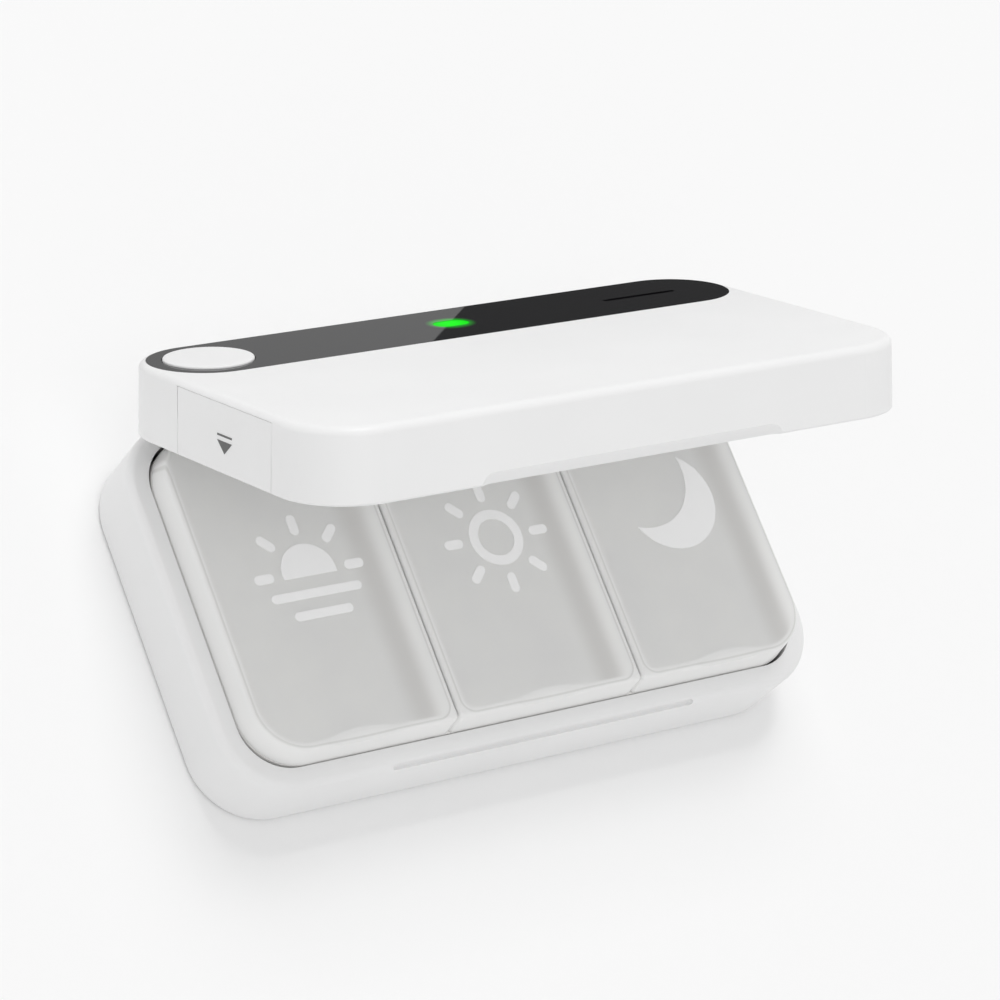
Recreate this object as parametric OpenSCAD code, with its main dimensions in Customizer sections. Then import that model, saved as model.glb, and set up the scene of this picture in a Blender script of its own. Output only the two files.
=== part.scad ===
// Pocket pill box with three flap-covered compartments and a reminder module in its lid.
// The base lies flat with its underside at z = 0, the hinge runs along X at the rear (+Y),
// and the lid stands open by lid_open. Lid pieces are drawn with the hinge line at y = 0 and
// the lid's lower face at z = 0, front towards -Y, and placed by on_lid(). Sizes are in mm.

/* [Lid] */
// Length of the lid at its lower edge, left to right
lid_l = 112.4; // [108:0.2:118]
// Depth of the lid at its lower edge, hinge to front
lid_w = 64; // [60:0.2:68]
// Height of the lid
lid_h = 11.8; // [11.8:0.1:13]
// Corner radius of the lid in plan
lid_r = 11.4; // [10:0.1:13]
// Opening angle of the lid in degrees
lid_open = 51.6; // [45:0.2:120]
// Wall thickness of the lid's sides
lid_wall = 1.8; // [1.6:0.1:2.2]

/* [Base] */
// How far the base stands out past the lid at each end
side_step = 0.75; // [0:0.05:1.2]
// How far the base stands out past the lid at the front
front_step = 0.6; // [0:0.05:1.2]
// Height of the base shell from underside to rim
base_h = 13.7; // [12.5:0.1:18]
// Width of the rim around the tray
rim = 3.5; // [3:0.1:4.5]

/* [Compartments] */
// Height of the flaps' tops above the base's rim
flap_rise = 5.1; // [4.8:0.1:5.2]
// Wall thickness of the flaps
flap_wall = 1.1; // [0.9:0.1:1.4]
// Gap between neighbouring flaps
flap_gap = 0.35; // [0.25:0.05:0.6]
// Wall thickness of the tray
tray_wall = 1.2; // [1:0.1:1.6]

/* [Controls] */
// Diameter of the round button
button_d = 14.5; // [12:0.1:15]
// Travel of the button
button_travel = 0.35; // [0.2:0.05:0.35]
// Length of the speaker slot
slot_l = 14.6; // [10:0.1:18]
// Width of the speaker slot
slot_w = 1.2; // [0.8:0.1:1.6]
// Diameter of the coin cell
cell_d = 20; // [16:1:20]

/* [Hidden] */

// Colours
shell_white = [0.93, 0.93, 0.93];
clear_grey = [0.78, 0.78, 0.77];
mark_white = [0.9, 0.9, 0.9];
mark_grey = [0.37, 0.37, 0.37];
gloss_black = [0.16, 0.16, 0.17];
soft_black = [0.2, 0.2, 0.21];
steel = [0.7, 0.71, 0.73];
brass = [0.85, 0.72, 0.4];
board_green = [0.1, 0.4, 0.22];
lit_green = [0.3, 1, 0.35];
part_tan = [0.75, 0.7, 0.6];

// Smoothness of the flaps' large and small corners, of rounds and of the flaps' upper edges
corner_fn = 64;
small_fn = 16;
round_fn = 64;
fillet_steps = 4;
// Overlap that lets a cut run past a face
cut = 1;

// Base
base_l = lid_l + 2 * side_step;
base_w = lid_w + front_step;
base_r = lid_r + 0.3;
base_floor = 1.4;
base_top_fillet = 1.3;
base_low_fillet = 0.7;
pocket_r = base_r - rim;
finger_l = 58.6;
finger_r = 0.6;
finger_in = 0.45;
finger_low = 0.75;

// Hinge: axis on the parting line at the rear faces
part_gap = 0.2;
hinge_y = base_w / 2;
hinge_z = base_h + part_gap / 2;
knuckle_r = 2.2;
knuckle_l = 12;
knuckle_gap = 0.25;
knuckle_count = 5;
knuckle_tail = 4.5;
relief_r = knuckle_r + 0.25;
pin_r = 0.8;
pin_play = 0.04;
hinge_l = knuckle_count * knuckle_l;

// Tray
tray_gap = 0.15;
tray_l = base_l - 2 * (rim + tray_gap);
tray_w = base_w - 2 * (rim + tray_gap);
tray_r = 9;
tray_top = base_h - 0.1;
cell_r = 3;
ledge_w = 4.25;
pitch = tray_l / 3;

// Flaps
flap_low = tray_top + 0.2;
flap_top = base_h + flap_rise;
flap_edge = 0.2;
flap_front = 0.3 - tray_w / 2;
flap_draft = 0.5;
flap_fillet = 0.8;
flap_corner = 9.5;
flap_small_corner = 0.9;
rod_r = 0.6;
rod_play = 0.05;
barrel_r = 1.65;
rod_y = tray_w / 2 - 1.75;
lug_room = 2.3;
rod_z = flap_low + barrel_r;
rod_l = 93;
lug_l = 4;
lug_r = 1.5;
lug_offset = 7;
lug_gap = 0.25;
// The flap's top starts this far in front of the rod
slope_y = 1.7;
thumb_l = 17;
thumb_in = 1.7;
thumb_drop = 0.65;

// Marks on the flaps
mark_t = 0.1;
mark_y = hinge_y - 31.7;
// How far each mark stands from its place on its flap
mark_shift = [[1, 0.15], [0.8, 0.1], [0.65, 0]];
ray_l = 3.5;
ray_w = 1.6;
ray_at = 8.2;
bar_w = 1.5;
// Length and place of the two bars under the half sun
sun_bars = [[16.4, -3.65], [10.6, -7.15]];
half_sun_r = 4.85;
half_sun_low = 0.7;
sun_r = 4.95;
sun_hole_r = 3.3;
moon_r = 8.8;
moon_at = [-0.1, 0.85];
moon_bite_r = 9.55;
moon_bite_at = [-4.8, 6.2];

// Lid shell
lid_draft = 0.35;
lid_top_fillet = 1.3;
lid_low_fillet = 0.4;
top_t = 1.2;
bay_top = lid_h - top_t;
plate_z = 5.5;
plate_t = 1.2;
bay_z = plate_z + plate_t;
plate_gap = 0.15;
scoop_r = 3.6;
scoop_l = 58.7;
scoop_out = 2.6;
scoop_drop = 0.5;

// Strip and what sits in it
strip_gap = 0.05;
strip_r = 9.82;
strip_y = -11.3;
strip_l = 109.3;
strip_t = 0.9;
pad_t = 1;
pad_margin = 0.9;
strip_x = strip_l / 2 - strip_r;
button_x = -strip_x;
button_r = button_d / 2;
button_gap = 0.15;
button_proud = 0.35;
button_fillet = 0.3;
flange_r = button_r + 1;
flange_t = 0.8;
lens_x = 0.4;
lens_l = 6.2;
lens_w = 4;
speaker_x = 38.1;
speaker_r = 7.3;
speaker_t = 2.5;
speaker_cap_r = 2.4;
ring_in = 5.8;

// Electronics
board_t = 0.6;
board_z = bay_z + 0.2;
chips_z = board_z + board_t;
board_main = [80, 12];
board_main_at = [-12, strip_y - 1.6];
board_wing = [44, 30];
board_wing_at = [-5, -31];
board_r = 2;
chip_w = 7;
chip_t = 0.9;
leg_size = [0.4, 0.8, 0.3];
switch_w = 5.2;
switch_h = 0.8;
dome_r = 1.4;
stem_r = 1.5;
led_size = [3.2, 1.6, 0.8];
lens_z = chips_z + led_size[2] + 0.2;
lens_sink = 0.05;
lens_flange = 1;
screw_r = 0.8;
screw_l = 3.6;
screw_sink = 0.05;
screw_head_r = 1.5;
screw_head_t = 0.7;
cross_l = 1.8;
cross_w = 0.4;
cross_deep = 0.35;
boss_r = 2;
// Places of the screws that hold the inner plate
screw_places = [[-49.5, -57], [49.5, -57], [0, -58.6], [-26, -4.6], [26, -4.6], [50.6, -30]];
cell_t = 3.2;
cell_z = bay_z + 0.3;
cell_y = -35.6;
cell_x = -43.2;
cell_cap_step = 1.4;
cell_rim_z = 0.4;
contact_t = 0.2;
holder_w = 24;
holder_back = 3;
holder_gap = 0.3;

// Battery cover, a dovetail plate that slides down in the left wall
cover_w = 28.4;
cover_undercut = 1;
cover_top = 10.8;
cover_gap = 0.12;
cover_top_gap = 0.06;
cover_in = lid_l / 2 - 1.2;

// Mark on the battery cover: a triangle and a bar, each symbol_w wide. The triangle's lower tip is
// symbol_z above the lid's lower edge
print_t = 0.06;
symbol_w = 4.4;
symbol_h = 1.9;
symbol_bar = 0.3;
symbol_space = 0.7;
symbol_z = 2.8;
symbol_y = cell_y - 0.35;
wall_slope = atan(lid_draft / (lid_h - lid_top_fillet - lid_low_fillet));

// Half section of a corner post: a wall that leans in by draft between a rounded lower and a
// rounded upper edge. The wall is the line that touches both edge circles
module post_section(r, h, low, top, draft) {
    c_low = [r - low, low];
    c_top = [r - draft - top, h - top];
    between = c_top - c_low;
    angle = atan2(between[1], between[0]) - acos((low - top) / norm(between));
    normal = [cos(angle), sin(angle)];
    polygon(concat(
        [[0, 0], [c_low[0], 0]], low > 0 ? [c_low + low * normal] : [],
        [c_top + top * normal, [c_top[0], h], [0, h]]
    ));
    if (low > 0) translate(c_low) circle(low, $fn = round_fn);
    translate(c_top) circle(top, $fn = round_fn);
}

// Outline of a rectangle with round corners, centred
module rounded_plan(l, w, r) {
    square([l - 2 * r, w], center = true);
    square([l, w - 2 * r], center = true);
    for (x = [-1, 1], y = [-1, 1])
        translate([x * (l / 2 - r), y * (w / 2 - r)]) circle(r, $fn = round_fn);
}

// Outline of a bar with round ends along X, centred
module stadium(l, w) {
    square([l - w, w], center = true);
    for (x = [-1, 1]) translate([x * (l - w) / 2, 0]) circle(w / 2, $fn = round_fn);
}

// Block with all edges rounded, centred in plan: four quarter posts, the walls between them and
// the middle
module soft_block(l, w, h, r, low, top, draft) {
    x_in = l / 2 - r;
    y_in = w / 2 - r;
    translate([-x_in, -y_in, 0]) cube([2 * x_in, 2 * y_in, h]);
    for (turn = [0, 180]) rotate(turn) {
        for (side = [0, 1])
            translate([side == 0 ? x_in : -x_in, y_in, 0]) rotate(90 * side)
                rotate_extrude(angle = 90, $fn = round_fn) post_section(r, h, low, top, draft);
        translate([x_in, y_in, 0]) rotate([90, 0, 0])
            linear_extrude(2 * y_in) post_section(r, h, low, top, draft);
        translate([-x_in, y_in, 0]) rotate([90, 0, 90])
            linear_extrude(2 * x_in) post_section(r, h, low, top, draft);
    }
}

// Solid drawn in (y, z) and drawn out along X from x0 to x1
module along_x(x0, x1) {
    translate([x0, 0, 0]) rotate([90, 0, 90]) linear_extrude(x1 - x0) children();
}

// Round bar along X from x0 to x1
module bar_x(x0, x1, r) {
    translate([x0, 0, 0]) rotate([0, 90, 0]) cylinder(r = r, h = x1 - x0, $fn = round_fn);
}

// Bar along X with ball ends, l long overall
module ball_bar(l, r) {
    bar_x(r - l / 2, l / 2 - r, r);
    for (x = [-1, 1]) translate([x * (l / 2 - r), 0, 0]) sphere(r, $fn = round_fn);
}

// Puts a lid piece where the open lid holds it
module on_lid() {
    translate([0, hinge_y, hinge_z]) rotate([-lid_open, 0, 0])
        translate([0, 0, part_gap / 2]) children();
}

// The hinge's knuckles. Even ones belong to the base, odd ones to the lid
function knuckle_start(i) = i * knuckle_l - hinge_l / 2;

// Knuckles of one side with their tails, in a frame whose origin is the hinge axis.
// The tails run towards z = side * knuckle_tail
module knuckles(odd, side) {
    for (i = [odd:2:knuckle_count - 1])
        let (x0 = knuckle_start(i) + knuckle_gap / 2, x1 = knuckle_start(i + 1) - knuckle_gap / 2) {
            bar_x(x0, x1, knuckle_r);
            along_x(x0, x1)
                polygon([[knuckle_r, 0], [0, side * knuckle_tail], [-1, side * knuckle_tail], [-1, 0]]);
        }
}

// Room for the other side's knuckles
module knuckle_relief(odd) {
    for (i = [odd:2:knuckle_count - 1])
        bar_x(knuckle_start(i) - knuckle_gap / 2, knuckle_start(i + 1) + knuckle_gap / 2, relief_r);
}

// Lower shell with the pocket for the tray, the finger groove and three knuckles
module base_shell() {
    color(shell_white) difference() {
        union() {
            soft_block(base_l, base_w, base_h, base_r, base_low_fillet, base_top_fillet, 0);
            translate([0, hinge_y, hinge_z]) knuckles(0, -1);
        }
        translate([0, 0, base_floor]) linear_extrude(base_h)
            rounded_plan(base_l - 2 * rim, base_w - 2 * rim, pocket_r);
        translate([0, -base_w / 2 + finger_in, base_h - finger_low]) ball_bar(finger_l, finger_r);
        translate([0, hinge_y, hinge_z]) {
            knuckle_relief(1);
            bar_x(-hinge_l / 2 - cut, hinge_l / 2 + cut, pin_r);
        }
    }
}

// Steel pin through all the knuckles
module hinge_pin() {
    color(steel) translate([0, hinge_y, hinge_z]) bar_x(0.5 - hinge_l / 2, hinge_l / 2 - 0.5, pin_r);
}

// Outline of one compartment of the tray
module cell_plan(i) {
    intersection() {
        translate([0, -ledge_w / 2 + tray_wall / 2])
            rounded_plan(tray_l - 2 * tray_wall, tray_w - ledge_w - tray_wall, tray_r - tray_wall);
        translate([(i - 1) * pitch, 0])
            rounded_plan(pitch - tray_wall, tray_w, cell_r);
    }
}

// Places of the rod's lugs along X
lug_places = [for (i = [-1:1], side = [-1, 1]) i * pitch + side * lug_offset];

// Lift-out tray with three compartments and the lugs that hold the flaps' rod
module pill_tray() {
    color(clear_grey) difference() {
        union() {
            translate([0, 0, base_floor]) linear_extrude(tray_top - base_floor)
                rounded_plan(tray_l, tray_w, tray_r);
            for (x = lug_places) translate([0, rod_y, rod_z]) {
                bar_x(x - lug_l / 2, x + lug_l / 2, lug_r);
                along_x(x - lug_l / 2, x + lug_l / 2)
                    translate([-lug_r, tray_top - rod_z - 0.5]) square([2 * lug_r, rod_z - tray_top + 0.5]);
            }
        }
        for (i = [0:2])
            translate([0, 0, base_floor + tray_wall]) linear_extrude(base_h) cell_plan(i);
        translate([0, rod_y, rod_z]) bar_x(-base_l / 2, base_l / 2, rod_r);
    }
}

// Rod that the three flaps turn on
module flap_rod() {
    color(steel) translate([0, rod_y, rod_z]) bar_x(-rod_l / 2, rod_l / 2, rod_r);
}

// Left or right end of flap i along X
function flap_end(i, side) =
    (i - 1 + side / 2) * pitch - side * ((i - 1) * side == 1 ? flap_edge : flap_gap / 2);

// Plan radius of flap i on one side: large at the box's ends, small at the seams
function flap_r(i, side) = (i - 1) * side == 1 ? flap_corner : flap_small_corner;

// Half section of a flap's corner post, with a leaning wall and a rounded upper edge
function flap_section(r, h, fillet) =
    let (c = [r - min(flap_draft, r - fillet) - fillet, h - fillet])
    concat(
        [[0, 0], [r, 0]],
        [for (i = [0:fillet_steps]) c + fillet * [cos(90 * i / fillet_steps), sin(90 * i / fillet_steps)]],
        [[0, h]]
    );

// Closed block of flap i, drawn in by inset, up to height top
module flap_block(i, inset, top, fillet) {
    y_rear = tray_w / 2 - 0.05 - inset;
    y_front = flap_front + inset;
    hull()
        for (sx = [-1, 1], sy = [-1, 1])
            let (r = flap_r(i, sx) - min(inset, 0.4), x = flap_end(i, sx) - sx * inset)
                translate([x - sx * r, (sy > 0 ? y_rear : y_front) - sy * r, flap_low])
                    rotate_extrude($fn = r > 2 ? corner_fn : small_fn)
                        polygon(flap_section(r, top - flap_low, fillet));
}

// What is cut from a flap's rear so that it ends in a barrel round the rod
module flap_rear_cut() {
    reach = [-slope_y, flap_top - rod_z];
    tangent = atan2(reach[1], reach[0]) - acos(barrel_r / norm(reach));
    along_x(-base_l / 2, base_l / 2) translate([rod_y, rod_z]) difference() {
        translate([-slope_y, -2 * barrel_r]) square([8, 12]);
        circle(barrel_r, $fn = round_fn);
        polygon([
            [-slope_y - cut, -2 * barrel_r], [0, -2 * barrel_r], [0, 0],
            barrel_r * [cos(tangent), sin(tangent)], reach, [-slope_y - cut, reach[1] + cut]
        ]);
    }
}

// Shallow thumb scoop on the front edge of flap i, cut by a large ball
module thumb_scoop(i) {
    half = thumb_l / 2;
    out = (half * half - thumb_in * thumb_in) / (2 * thumb_in);
    up = (half * half - thumb_drop * thumb_drop) / (2 * thumb_drop);
    ball_r = sqrt(out * out + up * up + half * half);
    front = flap_front + flap_draft;
    translate([(i - 1) * pitch, front - out, flap_top + up]) sphere(ball_r, $fn = 2 * round_fn);
}

// Translucent cap of compartment i, 0 on the left to 2 on the right
module flap(i) {
    color(clear_grey) difference() {
        flap_block(i, 0, flap_top, flap_fillet);
        difference() {
            translate([0, 0, -cut]) flap_block(i, flap_wall, flap_top - flap_wall + cut, 0.3);
            translate([0, rod_y - slope_y - 0.4, 0]) along_x(-base_l / 2, base_l / 2) square([9, base_h * 2]);
        }
        flap_rear_cut();
        for (side = [-1, 1])
            translate([(i - 1) * pitch + side * lug_offset, rod_y - lug_room, flap_low - cut])
                translate([-lug_l / 2 - lug_gap, 0, 0])
                    cube([lug_l + 2 * lug_gap, 6, cut + rod_z - flap_low + lug_r + 0.45]);
        translate([0, rod_y, rod_z]) bar_x(-base_l / 2, base_l / 2, rod_r + rod_play);
        thumb_scoop(i);
    }
}

module flap_morning() { flap(0); }

module flap_noon() { flap(1); }

module flap_night() { flap(2); }

// Places a mark's outline on the top of flap i
module flap_mark(i) {
    color(mark_white) translate([(i - 1) * pitch + mark_shift[i][0], mark_y + mark_shift[i][1], flap_top])
        linear_extrude(mark_t) children();
}

// Rays round a sun at the given angles
module rays(angles) {
    for (a = angles) rotate(a) translate([ray_at, 0]) stadium(ray_l, ray_w);
}

// Half sun with five rays above two bars
module sunrise_mark() {
    flap_mark(0) {
        intersection() {
            circle(half_sun_r, $fn = round_fn);
            translate([-half_sun_r, -half_sun_low]) square([2 * half_sun_r, 2 * half_sun_r]);
        }
        rays([0:45:180]);
        for (b = sun_bars) translate([0, b[1]]) stadium(b[0], bar_w);
    }
}

// Full sun with eight rays
module sun_mark() {
    flap_mark(1) {
        difference() {
            circle(sun_r, $fn = round_fn);
            circle(sun_hole_r, $fn = round_fn);
        }
        rays([0:45:315]);
    }
}

// Crescent that opens to the upper left
module moon_mark() {
    flap_mark(2) difference() {
        translate(moon_at) circle(moon_r, $fn = round_fn);
        translate(moon_bite_at) circle(moon_bite_r, $fn = round_fn);
    }
}

// Centre of the lid in its own frame
module at_lid_centre() { translate([0, -lid_w / 2, 0]) children(); }

// Closed outer form of the lid
module lid_block() {
    at_lid_centre() soft_block(lid_l, lid_w, lid_h, lid_r, lid_low_fillet, lid_top_fillet, lid_draft);
}

// Outline of the lid's inside, drawn in by gap
module lid_inside(gap) {
    at_lid_centre()
        rounded_plan(
            lid_l - 2 * (lid_wall + gap), lid_w - 2 * (lid_wall + gap), lid_r - lid_wall - gap
        );
}

// Plan of the battery cover's dovetail, grown by gap. It is wider inside than outside
module dovetail(gap) {
    translate([0, cell_y]) polygon([
        [-lid_l / 2 - cut, -cover_w / 2 - gap], [-lid_l / 2 + 0.2, -cover_w / 2 - gap],
        [-cover_in + gap, -cover_w / 2 - cover_undercut - gap],
        [-cover_in + gap, cover_w / 2 + cover_undercut + gap],
        [-lid_l / 2 + 0.2, cover_w / 2 + gap], [-lid_l / 2 - cut, cover_w / 2 + gap]
    ]);
}

// Rounded plan of the strip at the rear of the lid's top, grown by gap
module strip_plan(gap) {
    translate([0, strip_y]) stadium(strip_l + 2 * gap, 2 * (strip_r + gap));
}

// Outer shell of the lid
module lid_cover() {
    color(shell_white) on_lid() difference() {
        union() {
            difference() {
                lid_block();
                translate([0, 0, -cut]) linear_extrude(bay_top + cut) lid_inside(0);
            }
            intersection() {
                translate([0, 0, lid_h - strip_t - pad_t]) linear_extrude(pad_t) strip_plan(pad_margin);
                linear_extrude(lid_h) lid_inside(-0.5);
            }
            for (p = screw_places)
                translate([p[0], p[1], bay_z])
                    cylinder(r = boss_r, h = bay_top - bay_z + 0.3, $fn = round_fn);
            translate([0, 0, -part_gap / 2]) knuckles(1, 1);
        }
        translate([0, 0, lid_h - strip_t]) linear_extrude(strip_t + cut) strip_plan(strip_gap);
        translate([button_x, strip_y, bay_z])
            cylinder(r = button_r + button_gap, h = lid_h, $fn = round_fn);
        translate([lens_x, strip_y, bay_z]) linear_extrude(lid_h) stadium(lens_l + 0.1, lens_w + 0.1);
        translate([speaker_x, strip_y, bay_z]) cylinder(r = ring_in, h = lid_h, $fn = round_fn);
        translate([0, 0, -cut]) linear_extrude(cover_top + cut + cover_top_gap) dovetail(cover_gap);
        translate([-lid_l / 2, cell_y - cell_d / 2 - 0.5, bay_z])
            cube([4, cell_d + 1, cover_top - bay_z - 0.4]);
        for (p = screw_places)
            translate([p[0], p[1], bay_z - cut])
                cylinder(r = screw_r, h = screw_l + 0.2 - plate_t + cut, $fn = round_fn);
        translate([0, -lid_w - scoop_out, -scoop_drop]) ball_bar(scoop_l, scoop_r);
        translate([0, 0, -part_gap / 2]) {
            knuckle_relief(0);
            bar_x(-hinge_l / 2 - cut, hinge_l / 2 + cut, pin_r + pin_play);
        }
    }
}

// Plate that closes the electronics bay and faces the flaps
module inner_plate() {
    color(shell_white) on_lid() difference() {
        translate([0, 0, plate_z]) linear_extrude(plate_t) lid_inside(plate_gap);
        for (p = screw_places) translate([p[0], p[1], plate_z - cut]) {
            cylinder(r = screw_r + 0.1, h = plate_t + 2 * cut, $fn = round_fn);
            cylinder(r = screw_head_r + 0.1, h = screw_head_t + cut, $fn = round_fn);
        }
    }
}

// Glossy black strip with the button's hole, the light's window and the speaker slot
module strip_window() {
    color(gloss_black) on_lid() translate([0, 0, lid_h - strip_t]) linear_extrude(strip_t)
        difference() {
            strip_plan(0);
            translate([button_x, strip_y]) circle(button_r + button_gap, $fn = round_fn);
            translate([lens_x, strip_y]) stadium(lens_l + 0.1, lens_w + 0.1);
            translate([speaker_x, strip_y]) stadium(slot_l, slot_w);
        }
}

// Light guide above the light, with a flange under the cover
module led_lens() {
    color(lit_green) on_lid() translate([lens_x, strip_y, 0]) {
        translate([0, 0, lens_z]) linear_extrude(lid_h - lens_sink - lens_z) stadium(lens_l, lens_w);
        translate([0, 0, lid_h - strip_t - pad_t - 0.7]) linear_extrude(0.6)
            stadium(lens_l + 2 * lens_flange, lens_w + 2 * lens_flange);
    }
}

// Round cap of the button with a retaining flange and a stem
module button_cap() {
    top = lid_h + button_proud;
    under = lid_h - strip_t - pad_t - 0.1;
    color(shell_white) on_lid() translate([button_x, strip_y, 0]) {
        translate([0, 0, under - flange_t]) cylinder(r = flange_r, h = flange_t, $fn = round_fn);
        translate([0, 0, under - flange_t]) rotate_extrude($fn = round_fn)
            intersection() {
                post_section(button_r, top - under + flange_t, 0, button_fillet, 0);
                square(2 * button_r);
            }
        translate([0, 0, chips_z + switch_h + button_travel + 0.05])
            cylinder(r = stem_r, h = under - flange_t - chips_z - switch_h - button_travel, $fn = round_fn);
    }
}

// Low switch under the button's stem
module tact_switch() {
    color(steel) on_lid() translate([button_x, strip_y, chips_z]) {
        translate([-switch_w / 2, -switch_w / 2, 0]) cube([switch_w, switch_w, 0.6]);
        cylinder(r = dome_r, h = switch_h, $fn = round_fn);
    }
}

// Board under the strip with a wing for the chips
module circuit_board() {
    color(board_green) on_lid() translate([0, 0, board_z]) linear_extrude(board_t) difference() {
        union() {
            translate(board_main_at) rounded_plan(board_main[0], board_main[1], board_r);
            translate(board_wing_at) rounded_plan(board_wing[0], board_wing[1], board_r);
        }
        for (x = [-24, 14]) translate([x, -42]) circle(1.1, $fn = round_fn);
    }
}

// Small light under the guide
module status_led() {
    color(mark_white) on_lid()
        translate([lens_x - led_size[0] / 2, strip_y - led_size[1] / 2, chips_z]) cube(led_size);
}

// Processor of the reminder
module control_chip() {
    color(soft_black) on_lid() translate([-12, -36, chips_z]) {
        cube([chip_w, chip_w, chip_t]);
        for (k = [0:6], side = [-1, 1])
            translate([0.3 + k, (chip_w - leg_size[1]) / 2 + side * (chip_w + leg_size[1] - 0.1) / 2, 0])
                cube(leg_size);
    }
}

// Crystal, memory, coil and small parts soldered on the board
module board_parts() {
    color(part_tan) on_lid() translate([0, 0, chips_z]) {
        translate([4, -36, 0]) cube([6, 5, chip_t]);
        translate([-20, -35, 0]) linear_extrude(1.1) rounded_plan(3, 6, 1.4);
        translate([6, -26, 0]) cylinder(r = 2.2, h = 1.4, $fn = round_fn);
        for (k = [0:5]) translate([-12 + 2.2 * k, -41, 0]) cube([0.8, 1.6, 0.5]);
        for (k = [0:4]) translate([-14 + 2.2 * k, -25.5, 0]) cube([1.6, 0.8, 0.5]);
    }
}

// Round speaker under the slot
module speaker() {
    color(soft_black) on_lid() translate([speaker_x, strip_y, bay_z]) {
        cylinder(r = speaker_r, h = speaker_t, $fn = round_fn);
        translate([0, 0, speaker_t]) cylinder(r = speaker_cap_r, h = 0.2, $fn = round_fn);
    }
}

// Foam ring between the speaker and the cover
module speaker_ring() {
    low = bay_z + speaker_t;
    color(gloss_black) on_lid() translate([speaker_x, strip_y, low]) difference() {
        cylinder(r = speaker_r, h = lid_h - strip_t - pad_t - low, $fn = round_fn);
        translate([0, 0, -cut]) cylinder(r = ring_in, h = lid_h, $fn = round_fn);
    }
}

// Pocket that the coin cell slides into from the left wall
module battery_holder() {
    color(soft_black) on_lid() translate([cell_x, cell_y, bay_z]) difference() {
        translate([-cell_d / 2, -holder_w / 2, 0]) cube([cell_d + holder_back, holder_w, cell_t + 0.5]);
        translate([0, 0, -cut]) cylinder(r = cell_d / 2 + holder_gap, h = lid_h, $fn = round_fn);
        translate([-cell_d, -cell_d / 2 - holder_gap, -cut]) cube([cell_d, cell_d + 2 * holder_gap, lid_h]);
    }
}

// Coin cell: can with the smaller cap below
module coin_cell() {
    color(steel) on_lid() translate([cell_x, cell_y, cell_z]) {
        translate([0, 0, cell_rim_z]) cylinder(r = cell_d / 2, h = cell_t - cell_rim_z, $fn = round_fn);
        cylinder(r = cell_d / 2 - cell_cap_step, h = cell_t, $fn = round_fn);
    }
}

// Spring strip beside the cell
module contact_plus() {
    color(brass) on_lid() translate([cell_x, cell_y, cell_z]) linear_extrude(2.4) intersection() {
        difference() {
            circle(cell_d / 2 + contact_t + 0.03, $fn = round_fn);
            circle(cell_d / 2 + 0.03, $fn = round_fn);
        }
        translate([3, -5]) square([10, 10]);
    }
}

// Spring strip under the cell
module contact_minus() {
    color(brass) on_lid() translate([cell_x, cell_y, bay_z + 0.03]) linear_extrude(contact_t)
        stadium(0.7 * cell_d, 3);
}

// Screws that hold the inner plate, heads flush in the plate
module plate_screws() {
    color(steel) on_lid() for (p = screw_places)
        translate([p[0], p[1], plate_z + screw_sink]) difference() {
            union() {
                cylinder(r = screw_head_r, h = screw_head_t - screw_sink, $fn = round_fn);
                cylinder(r = screw_r, h = screw_l, $fn = round_fn);
            }
            for (a = [0, 90])
                rotate(a) translate([-cross_l / 2, -cross_w / 2, -cut])
                    cube([cross_l, cross_w, cut + cross_deep]);
        }
}

// Sliding cover over the coin cell, flush with the lid's left wall
module battery_cover() {
    color(shell_white) on_lid() intersection() {
        lid_block();
        translate([0, 0, 0.05]) linear_extrude(cover_top - 0.05) dovetail(0);
    }
}

// Bar over a triangle that points the way the cover slides, laid on the sloping wall
module slide_mark() {
    color(mark_grey) on_lid() translate([-lid_l / 2, symbol_y, lid_low_fillet])
        rotate([0, wall_slope, 0]) rotate([90, 0, -90]) linear_extrude(print_t) {
            translate([-symbol_w / 2, symbol_z + symbol_h + symbol_space]) square([symbol_w, symbol_bar]);
            translate([0, symbol_z])
                polygon([[-symbol_w / 2, symbol_h], [symbol_w / 2, symbol_h], [0, 0]]);
        }
}

base_shell();
pill_tray();
hinge_pin();
flap_rod();
flap_morning();
flap_noon();
flap_night();
sunrise_mark();
sun_mark();
moon_mark();
lid_cover();
inner_plate();
strip_window();
led_lens();
circuit_board();
status_led();
control_chip();
board_parts();
tact_switch();
speaker();
speaker_ring();
battery_holder();
coin_cell();
contact_plus();
contact_minus();
plate_screws();
button_cap();
battery_cover();
slide_mark();
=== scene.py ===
"""Pocket pill box with a reminder module in its lid.

The frame gives every rigid piece in metres. This script gives each piece its moulded, polished,
brushed or printed finish, models the flaps and the tray again with their soft moulded edges, and
sets the floor, the light and the camera.
"""

import logging
import math
from abc import ABC, abstractmethod
from contextlib import contextmanager
from dataclasses import dataclass
from enum import Enum
from typing import Callable, Iterator, Sequence, TypeVar

import bmesh
import bpy
from mathutils import Matrix, Vector


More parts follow.
